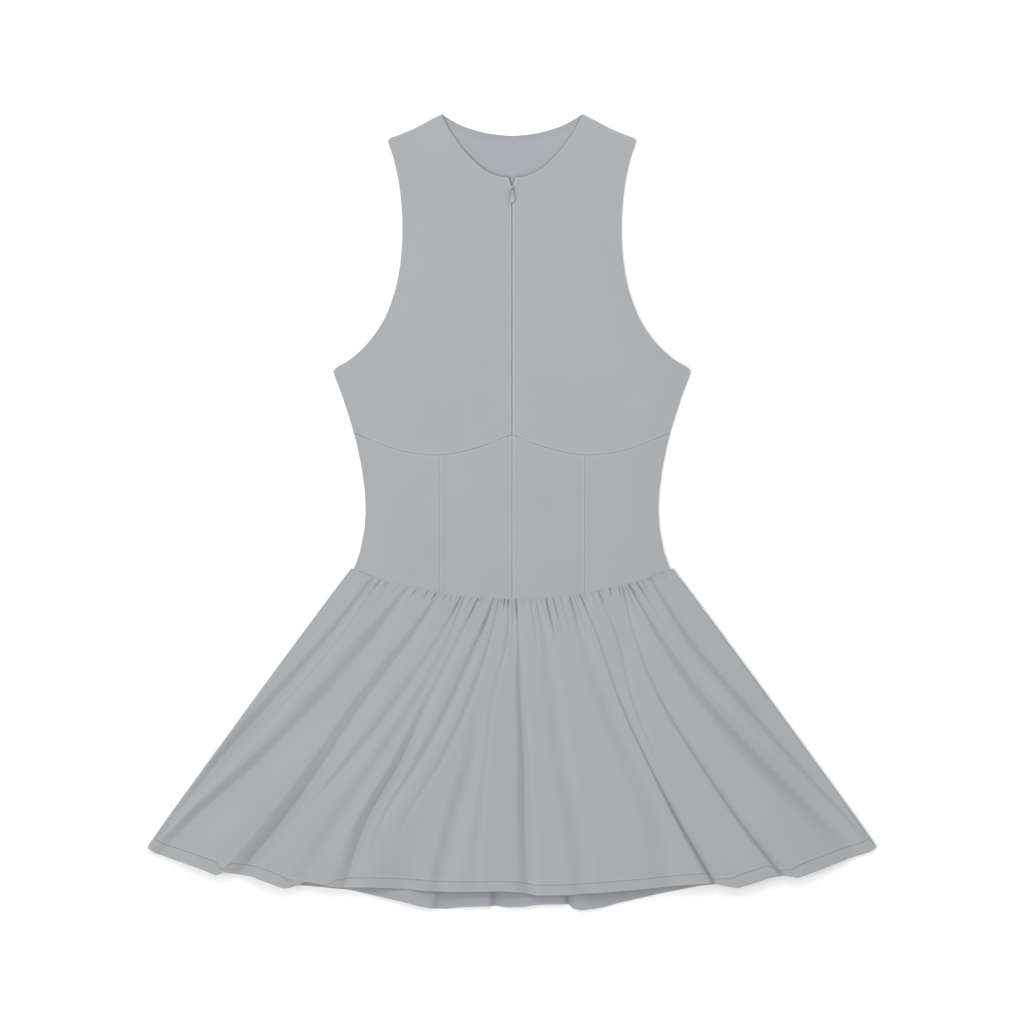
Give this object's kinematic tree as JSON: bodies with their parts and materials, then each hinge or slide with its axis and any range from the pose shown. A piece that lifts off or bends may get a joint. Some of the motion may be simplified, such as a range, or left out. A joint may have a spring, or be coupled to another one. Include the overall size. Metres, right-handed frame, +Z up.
{
  "type": "sleeveless zip dress laid flat",
  "caption": "Sleeveless knit dress laid flat, with a front neck zip, panelled midriff and a gathered flared skirt.",
  "frame": {"origin": "on the surface that the dress lies on, under the middle of its outline's bounding box", "axes": "+X to the wearer's left, +Y from hem to neck along the dress, +Z up out of the front"},
  "size_m": [0.7686, 0.8391, 0.0143],
  "materials": {
    "dress_cloth": "matt blue-grey double knit of nylon and elastane",
    "cloth_inside": "the same knit's slightly darker inner face",
    "zip_coil": "dyed nylon coil",
    "zip_metal": "die-cast zinc lacquered in the cloth's colour"
  },
  "bodies": {
    "dress": {"bodice_back": "cloth_inside", "skirt_back": "cloth_inside", "bodice_front_right": "dress_cloth", "bodice_front_left": "dress_cloth", "midriff_centre_right": "dress_cloth", "midriff_centre_left": "dress_cloth", "midriff_side_right": "dress_cloth", "midriff_side_left": "dress_cloth", "skirt_front": "dress_cloth", "zip_coil_right": "zip_coil", "zip_coil_left": "zip_coil", "zip_slider": "zip_metal"},
    "pull_tab": {"zip_pull_tab": "zip_metal"}
  },
  "joints": [
    {"name": "pull_tab_hinge", "type": "hinge", "parent": "dress", "child": "pull_tab", "pos_m": [0, 0.3413, 0.0055], "axis": [-1, 0, 0], "range_deg": [0, 170]}
  ]
}
